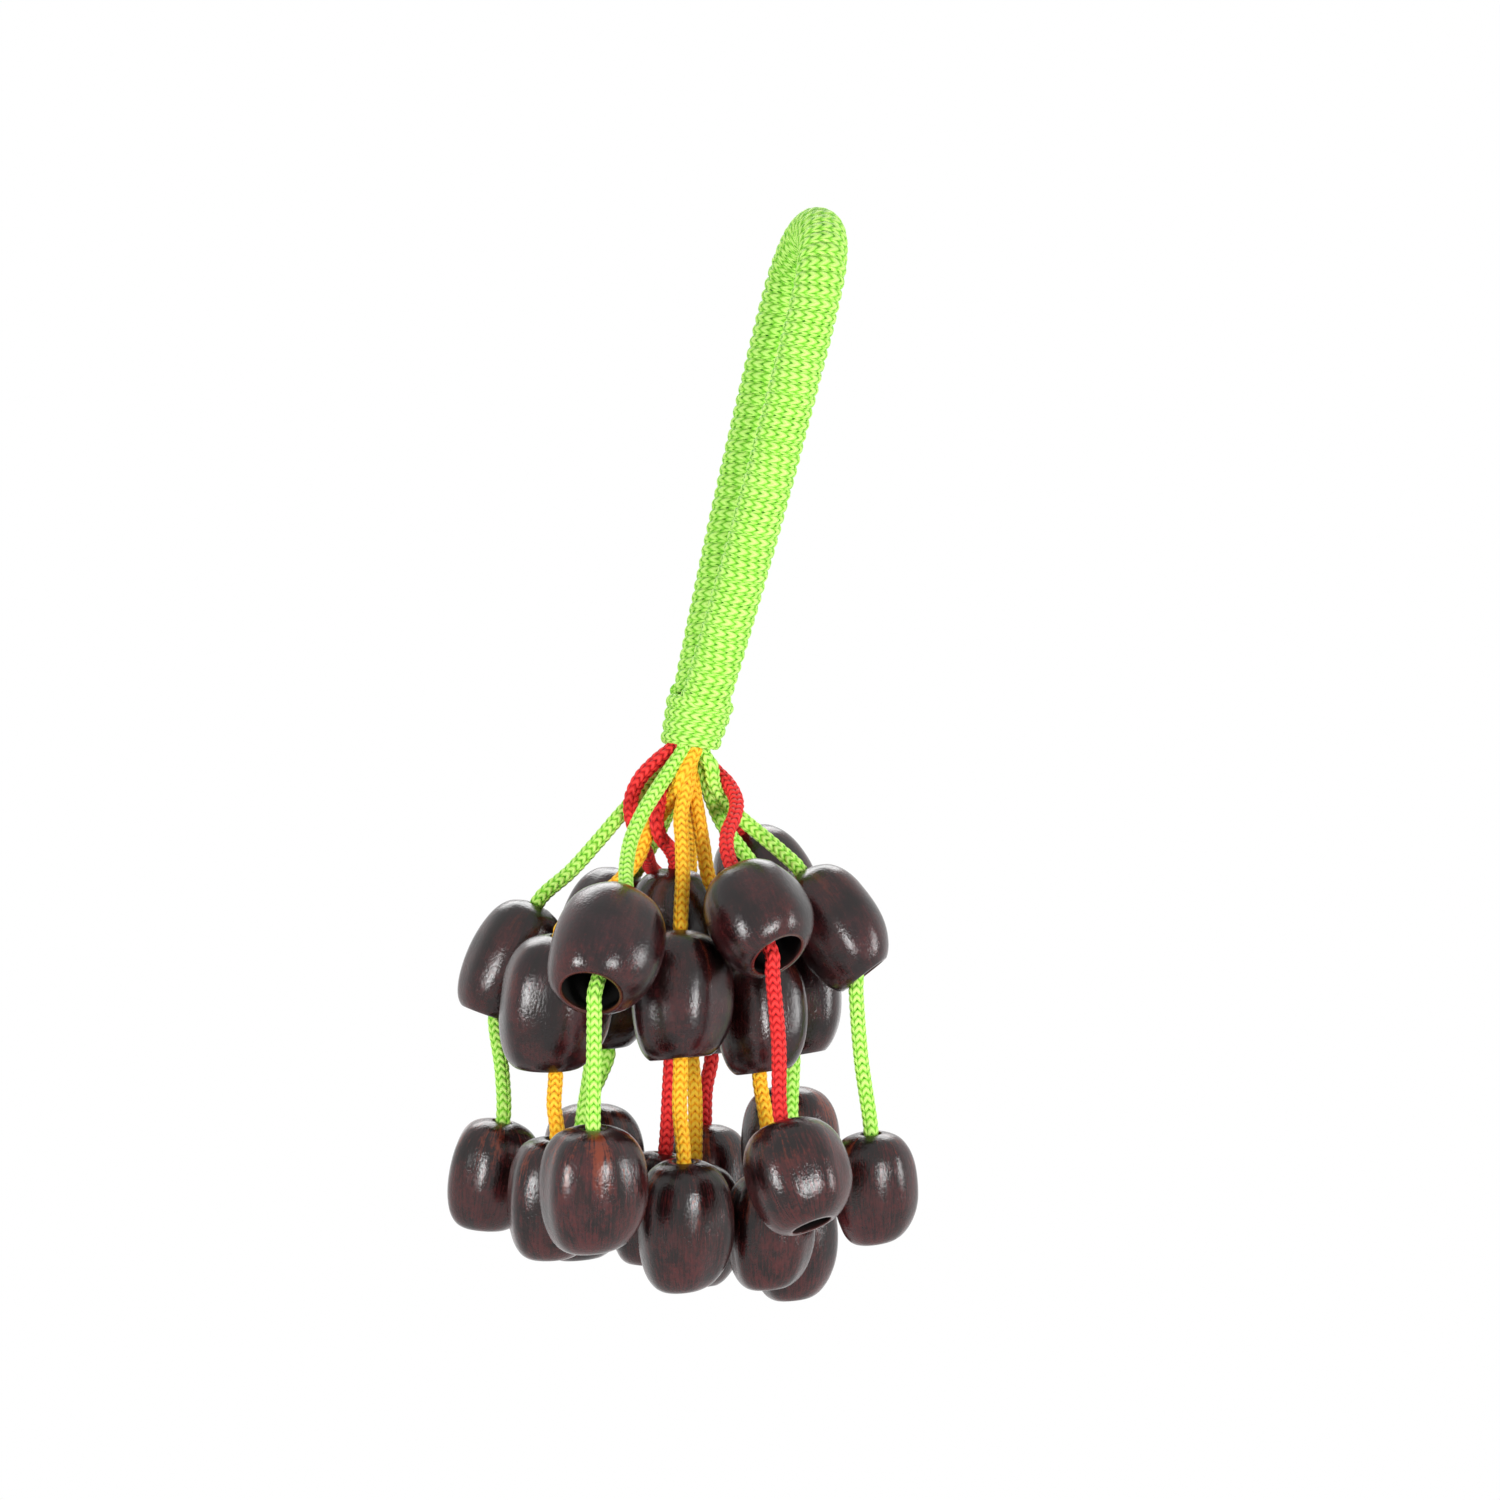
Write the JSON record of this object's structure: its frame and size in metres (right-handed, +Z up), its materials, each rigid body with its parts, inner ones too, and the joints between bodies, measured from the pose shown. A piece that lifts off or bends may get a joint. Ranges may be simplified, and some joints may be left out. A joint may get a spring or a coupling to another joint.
{
  "type": "seed shaker",
  "caption": "Hand shaker with a whipped cord loop handle and a skirt of braided cords in three colours, each carrying two hollow nut shells that knock together.",
  "frame": {"origin": "inside top of the hand loop, where a finger, hand or peg takes it", "axes": "+Z up with the shaker hanging, the handle leaning 14 degrees towards +X as it is held in the picture, -Y towards the viewer"},
  "size_m": [0.0905, 0.1074, 0.2109],
  "materials": {
    "nut_shell": "dark varnished nut shell",
    "green_cord": "braided cord",
    "yellow_cord": "braided cord",
    "red_cord": "braided cord",
    "core_cord": "bundle of braided cords"
  },
  "bodies": {
    "handle": {"handle_core": "core_cord", "handle_whipping": "green_cord", "collar_whipping": "green_cord"},
    "strand_01": {"cord_01_upper": "green_cord"},
    "upper_seed_01": {"seed_01_upper": "nut_shell"},
    "hanger_01": {"cord_01_lower": "green_cord"},
    "lower_seed_01": {"seed_01_lower": "nut_shell"},
    "strand_02": {"cord_02_upper": "yellow_cord"},
    "upper_seed_02": {"seed_02_upper": "nut_shell"},
    "hanger_02": {"cord_02_lower": "yellow_cord"},
    "lower_seed_02": {"seed_02_lower": "nut_shell"},
    "strand_03": {"cord_03_upper": "green_cord"},
    "upper_seed_03": {"seed_03_upper": "nut_shell"},
    "hanger_03": {"cord_03_lower": "green_cord"},
    "lower_seed_03": {"seed_03_lower": "nut_shell"},
    "strand_04": {"cord_04_upper": "green_cord"},
    "upper_seed_04": {"seed_04_upper": "nut_shell"},
    "hanger_04": {"cord_04_lower": "green_cord"},
    "lower_seed_04": {"seed_04_lower": "nut_shell"},
    "strand_05": {"cord_05_upper": "yellow_cord"},
    "upper_seed_05": {"seed_05_upper": "nut_shell"},
    "hanger_05": {"cord_05_lower": "yellow_cord"},
    "lower_seed_05": {"seed_05_lower": "nut_shell"},
    "strand_06": {"cord_06_upper": "red_cord"},
    "upper_seed_06": {"seed_06_upper": "nut_shell"},
    "hanger_06": {"cord_06_lower": "red_cord"},
    "lower_seed_06": {"seed_06_lower": "nut_shell"},
    "strand_07": {"cord_07_upper": "red_cord"},
    "upper_seed_07": {"seed_07_upper": "nut_shell"},
    "hanger_07": {"cord_07_lower": "red_cord"},
    "lower_seed_07": {"seed_07_lower": "nut_shell"},
    "strand_08": {"cord_08_upper": "green_cord"},
    "upper_seed_08": {"seed_08_upper": "nut_shell"},
    "hanger_08": {"cord_08_lower": "green_cord"},
    "lower_seed_08": {"seed_08_lower": "nut_shell"},
    "strand_09": {"cord_09_upper": "red_cord"},
    "upper_seed_09": {"seed_09_upper": "nut_shell"},
    "hanger_09": {"cord_09_lower": "red_cord"},
    "lower_seed_09": {"seed_09_lower": "nut_shell"},
    "strand_10": {"cord_10_upper": "yellow_cord"},
    "upper_seed_10": {"seed_10_upper": "nut_shell"},
    "hanger_10": {"cord_10_lower": "yellow_cord"},
    "lower_seed_10": {"seed_10_lower": "nut_shell"},
    "strand_11": {"cord_11_upper": "green_cord"},
    "upper_seed_11": {"seed_11_upper": "nut_shell"},
    "hanger_11": {"cord_11_lower": "green_cord"},
    "lower_seed_11": {"seed_11_lower": "nut_shell"},
    "strand_12": {"cord_12_upper": "green_cord"},
    "upper_seed_12": {"seed_12_upper": "nut_shell"},
    "hanger_12": {"cord_12_lower": "green_cord"},
    "lower_seed_12": {"seed_12_lower": "nut_shell"},
    "strand_13": {"cord_13_upper": "yellow_cord"},
    "upper_seed_13": {"seed_13_upper": "nut_shell"},
    "hanger_13": {"cord_13_lower": "yellow_cord"},
    "lower_seed_13": {"seed_13_lower": "nut_shell"},
    "strand_14": {"cord_14_upper": "red_cord"},
    "upper_seed_14": {"seed_14_upper": "nut_shell"},
    "hanger_14": {"cord_14_lower": "red_cord"},
    "lower_seed_14": {"seed_14_lower": "nut_shell"}
  },
  "joints": [
    {"name": "strand_01_swing", "type": "hinge", "parent": "handle", "child": "strand_01", "pos_m": [-0.02878, 0.00054, -0.09484], "axis": [0.0698, 0.9976, 0], "range_deg": [0, 60], "deforming": ["cord_01_upper"]},
    {"name": "strand_02_swing", "type": "hinge", "parent": "handle", "child": "strand_02", "pos_m": [-0.02812, -0.00258, -0.09494], "axis": [-0.5446, 0.8387, 0], "range_deg": [0, 60], "deforming": ["cord_02_upper"]},
    {"name": "strand_03_swing", "type": "hinge", "parent": "handle", "child": "strand_03", "pos_m": [-0.02576, -0.00471, -0.09546], "axis": [-0.9135, 0.4067, 0], "range_deg": [0, 60], "deforming": ["cord_03_upper"]},
    {"name": "strand_04_swing", "type": "hinge", "parent": "handle", "child": "strand_04", "pos_m": [-0.02749, 0.00345, -0.09498], "axis": [0.5299, 0.848, 0], "range_deg": [0, 60], "deforming": ["cord_04_upper"]},
    {"name": "strand_05_swing", "type": "hinge", "parent": "handle", "child": "strand_05", "pos_m": [-0.02259, -0.00504, -0.09607], "axis": [0, 1, 0], "range_deg": [0, 2.4], "deforming": ["cord_05_upper"]},
    {"name": "strand_06_swing", "type": "hinge", "parent": "handle", "child": "strand_06", "pos_m": [-0.0258, -0.00057, -0.09524], "axis": [-0.5, 0.866, 0], "range_deg": [0, 4.5], "deforming": ["cord_06_upper"]},
    {"name": "strand_07_swing", "type": "hinge", "parent": "handle", "child": "strand_07", "pos_m": [-0.01983, -0.00345, -0.09722], "axis": [-0.8746, -0.4848, 0], "range_deg": [0, 60], "deforming": ["cord_07_upper"]},
    {"name": "strand_08_swing", "type": "hinge", "parent": "handle", "child": "strand_08", "pos_m": [-0.01856, -0.00072, -0.09721], "axis": [-0.1392, -0.9903, 0], "range_deg": [0, 60], "deforming": ["cord_08_upper"]},
    {"name": "strand_09_swing", "type": "hinge", "parent": "handle", "child": "strand_09", "pos_m": [-0.01934, 0.00281, -0.09757], "axis": [0.8192, -0.5736, 0], "range_deg": [0, 60], "deforming": ["cord_09_upper"]},
    {"name": "strand_10_swing", "type": "hinge", "parent": "handle", "child": "strand_10", "pos_m": [-0.02305, -0.00213, -0.09602], "axis": [-0.866, -0.5, 0], "range_deg": [0, 4.5], "deforming": ["cord_10_upper"]},
    {"name": "strand_11_swing", "type": "hinge", "parent": "handle", "child": "strand_11", "pos_m": [-0.02153, 0.00061, -0.09645], "axis": [0.0872, -0.9962, 0], "range_deg": [0, 9], "deforming": ["cord_11_upper"]},
    {"name": "strand_12_swing", "type": "hinge", "parent": "handle", "child": "strand_12", "pos_m": [-0.02473, 0.00504, -0.09582], "axis": [0.9063, 0.4226, 0], "range_deg": [0, 60], "deforming": ["cord_12_upper"]},
    {"name": "strand_13_swing", "type": "hinge", "parent": "handle", "child": "strand_13", "pos_m": [-0.02434, 0.0021, -0.09576], "axis": [0.9397, -0.342, 0], "range_deg": [0, 2.4], "deforming": ["cord_13_upper"]},
    {"name": "strand_14_swing", "type": "hinge", "parent": "handle", "child": "strand_14", "pos_m": [-0.02156, 0.00471, -0.09674], "axis": [0.9945, -0.1045, 0], "range_deg": [0, 60], "deforming": ["cord_14_upper"]},
    {"name": "hanger_01_swing", "type": "hinge", "parent": "strand_01", "child": "hanger_01", "pos_m": [-0.06077, 0.00303, -0.14813], "axis": [0.0698, 0.9976, 0], "range_deg": [0, 80], "deforming": ["cord_01_lower"]},
    {"name": "hanger_02_swing", "type": "hinge", "parent": "strand_02", "child": "hanger_02", "pos_m": [-0.04895, -0.01693, -0.15774], "axis": [-0.5446, 0.8387, 0], "range_deg": [0, 80], "deforming": ["cord_02_lower"]},
    {"name": "hanger_03_swing", "type": "hinge", "parent": "strand_03", "child": "hanger_03", "pos_m": [-0.04125, -0.04151, -0.144], "axis": [-0.9135, 0.4067, 0], "range_deg": [0, 80], "deforming": ["cord_03_lower"]},
    {"name": "hanger_04_swing", "type": "hinge", "parent": "strand_04", "child": "hanger_04", "pos_m": [-0.04147, 0.0176, -0.14251], "axis": [0.5592, 0.829, 0], "range_deg": [0, 80], "deforming": ["cord_04_lower"]},
    {"name": "hanger_05_swing", "type": "hinge", "parent": "strand_05", "child": "hanger_05", "pos_m": [-0.02506, -0.01811, -0.15547], "axis": [-0.9998, 0.0175, 0], "range_deg": [0, 24], "deforming": ["cord_05_lower"]},
    {"name": "hanger_06_swing", "type": "hinge", "parent": "strand_06", "child": "hanger_06", "pos_m": [-0.02638, 0.0012, -0.14347], "axis": [-0.5, 0.866, 0], "range_deg": [0, 12], "deforming": ["cord_06_lower"]},
    {"name": "hanger_07_swing", "type": "hinge", "parent": "strand_07", "child": "hanger_07", "pos_m": [-0.00753, -0.029, -0.13685], "axis": [-0.8387, -0.5446, 0], "range_deg": [0, 80], "deforming": ["cord_07_lower"]},
    {"name": "hanger_08_swing", "type": "hinge", "parent": "strand_08", "child": "hanger_08", "pos_m": [0.00855, -0.00449, -0.14065], "axis": [-0.1219, -0.9925, 0], "range_deg": [0, 80], "deforming": ["cord_08_lower"]},
    {"name": "hanger_09_swing", "type": "hinge", "parent": "strand_09", "child": "hanger_09", "pos_m": [-0.006, 0.02749, -0.13407], "axis": [0.8192, -0.5736, 0], "range_deg": [0, 80], "deforming": ["cord_09_lower"]},
    {"name": "hanger_10_swing", "type": "hinge", "parent": "strand_10", "child": "hanger_10", "pos_m": [-0.00992, -0.0056, -0.15835], "axis": [-0.866, -0.5, 0], "range_deg": [0, 22], "deforming": ["cord_10_lower"]},
    {"name": "hanger_11_swing", "type": "hinge", "parent": "strand_11", "child": "hanger_11", "pos_m": [-0.00348, 0.0124, -0.15549], "axis": [0.2588, -0.9659, 0], "range_deg": [0, 80], "deforming": ["cord_11_lower"]},
    {"name": "hanger_12_swing", "type": "hinge", "parent": "strand_12", "child": "hanger_12", "pos_m": [-0.03951, 0.03518, -0.15471], "axis": [0.8988, 0.4384, 0], "range_deg": [0, 80], "deforming": ["cord_12_lower"]},
    {"name": "hanger_13_swing", "type": "hinge", "parent": "strand_13", "child": "hanger_13", "pos_m": [-0.02333, 0.025, -0.15115], "axis": [0.866, 0.5, 0], "range_deg": [0, 7.5], "deforming": ["cord_13_lower"]},
    {"name": "hanger_14_swing", "type": "hinge", "parent": "strand_14", "child": "hanger_14", "pos_m": [-0.01938, 0.04516, -0.15586], "axis": [0.9962, -0.0872, 0], "range_deg": [0, 80], "deforming": ["cord_14_lower"]},
    {"name": "upper_seed_01_turn", "type": "hinge", "parent": "strand_01", "child": "upper_seed_01", "pos_m": [-0.05766, 0.0028, -0.13537], "axis": [0.4224, -0.0316, 0.9059], "continuous": true},
    {"name": "upper_seed_02_turn", "type": "hinge", "parent": "strand_02", "child": "upper_seed_02", "pos_m": [-0.04926, -0.0164, -0.14305], "axis": [0.103, -0.1727, 0.9796], "continuous": true},
    {"name": "upper_seed_03_turn", "type": "hinge", "parent": "strand_03", "child": "upper_seed_03", "pos_m": [-0.03886, -0.0356, -0.13226], "axis": [0.2611, 0.6459, 0.7174], "continuous": true},
    {"name": "upper_seed_04_turn", "type": "hinge", "parent": "strand_04", "child": "upper_seed_04", "pos_m": [-0.03966, 0.0176, -0.12937], "axis": [0.342, 0, 0.9397], "continuous": true},
    {"name": "upper_seed_05_turn", "type": "hinge", "parent": "strand_05", "child": "upper_seed_05", "pos_m": [-0.02506, -0.0184, -0.14161], "axis": [0, 0.0349, 0.9994], "continuous": true},
    {"name": "upper_seed_06_turn", "type": "hinge", "parent": "strand_06", "child": "upper_seed_06", "pos_m": [-0.02666, 0.0012, -0.12985], "axis": [0.0349, 0, 0.9994], "continuous": true},
    {"name": "upper_seed_07_turn", "type": "hinge", "parent": "strand_07", "child": "upper_seed_07", "pos_m": [-0.01046, -0.025, -0.12649], "axis": [-0.3952, 0.5399, 0.7432], "continuous": true},
    {"name": "upper_seed_08_turn", "type": "hinge", "parent": "strand_08", "child": "upper_seed_08", "pos_m": [0.00414, -0.004, -0.12842], "axis": [-0.529, 0.0592, 0.8466], "continuous": true},
    {"name": "upper_seed_09_turn", "type": "hinge", "parent": "strand_09", "child": "upper_seed_09", "pos_m": [-0.00866, 0.026, -0.12122], "axis": [-0.3966, -0.2221, 0.8907], "continuous": true},
    {"name": "upper_seed_10_turn", "type": "hinge", "parent": "strand_10", "child": "upper_seed_10", "pos_m": [-0.00966, -0.0056, -0.14522], "axis": [-0.0349, 0, 0.9994], "continuous": true},
    {"name": "upper_seed_11_turn", "type": "hinge", "parent": "strand_11", "child": "upper_seed_11", "pos_m": [-0.00306, 0.0124, -0.14186], "axis": [-0.0523, 0, 0.9986], "continuous": true},
    {"name": "upper_seed_12_turn", "type": "hinge", "parent": "strand_12", "child": "upper_seed_12", "pos_m": [-0.04006, 0.036, -0.14089], "axis": [0.0694, -0.1043, 0.9921], "continuous": true},
    {"name": "upper_seed_13_turn", "type": "hinge", "parent": "strand_13", "child": "upper_seed_13", "pos_m": [-0.02306, 0.025, -0.13778], "axis": [-0.0349, 0, 0.9994], "continuous": true},
    {"name": "upper_seed_14_turn", "type": "hinge", "parent": "strand_14", "child": "upper_seed_14", "pos_m": [-0.01966, 0.046, -0.14209], "axis": [0.0347, -0.1045, 0.9939], "continuous": true},
    {"name": "lower_seed_01_turn", "type": "hinge", "parent": "hanger_01", "child": "lower_seed_01", "pos_m": [-0.06126, 0.003, -0.17677], "axis": [0.172, -0.1371, 0.9755], "continuous": true},
    {"name": "lower_seed_02_turn", "type": "hinge", "parent": "hanger_02", "child": "lower_seed_02", "pos_m": [-0.04926, -0.018, -0.18049], "axis": [0.0515, -0.1734, 0.9835], "continuous": true},
    {"name": "lower_seed_03_turn", "type": "hinge", "parent": "hanger_03", "child": "lower_seed_03", "pos_m": [-0.04146, -0.0408, -0.17797], "axis": [0, -0.2079, 0.9781], "continuous": true},
    {"name": "lower_seed_04_turn", "type": "hinge", "parent": "hanger_04", "child": "lower_seed_04", "pos_m": [-0.04446, 0.0144, -0.18182], "axis": [0, -0.1045, 0.9945], "continuous": true},
    {"name": "lower_seed_05_turn", "type": "hinge", "parent": "hanger_05", "child": "lower_seed_05", "pos_m": [-0.02446, -0.018, -0.18565], "axis": [0, -0.2079, 0.9781], "continuous": true},
    {"name": "lower_seed_06_turn", "type": "hinge", "parent": "hanger_06", "child": "lower_seed_06", "pos_m": [-0.02966, 0.0012, -0.18326], "axis": [0.1388, -0.0691, 0.9879], "continuous": true},
    {"name": "lower_seed_07_turn", "type": "hinge", "parent": "hanger_07", "child": "lower_seed_07", "pos_m": [-0.00286, -0.0328, -0.17558], "axis": [-0.268, 0.2331, 0.9348], "continuous": true},
    {"name": "lower_seed_08_turn", "type": "hinge", "parent": "hanger_08", "child": "lower_seed_08", "pos_m": [0.01194, -0.0044, -0.17894], "axis": [-0.0515, -0.1734, 0.9835], "continuous": true},
    {"name": "lower_seed_09_turn", "type": "hinge", "parent": "hanger_09", "child": "lower_seed_09", "pos_m": [-0.00406, 0.028, -0.17197], "axis": [0, 0, 1], "continuous": true},
    {"name": "lower_seed_10_turn", "type": "hinge", "parent": "hanger_10", "child": "lower_seed_10", "pos_m": [-0.00806, -0.006, -0.1871], "axis": [0, -0.1564, 0.9877], "continuous": true},
    {"name": "lower_seed_11_turn", "type": "hinge", "parent": "hanger_11", "child": "lower_seed_11", "pos_m": [-0.00346, 0.0124, -0.18901], "axis": [0, -0.1564, 0.9877], "continuous": true},
    {"name": "lower_seed_12_turn", "type": "hinge", "parent": "hanger_12", "child": "lower_seed_12", "pos_m": [-0.04266, 0.0368, -0.17558], "axis": [0, 0, 1], "continuous": true},
    {"name": "lower_seed_13_turn", "type": "hinge", "parent": "hanger_13", "child": "lower_seed_13", "pos_m": [-0.02246, 0.0232, -0.18734], "axis": [0, 0, 1], "continuous": true},
    {"name": "lower_seed_14_turn", "type": "hinge", "parent": "hanger_14", "child": "lower_seed_14", "pos_m": [-0.02066, 0.0456, -0.17989], "axis": [0, 0, 1], "continuous": true}
  ]
}
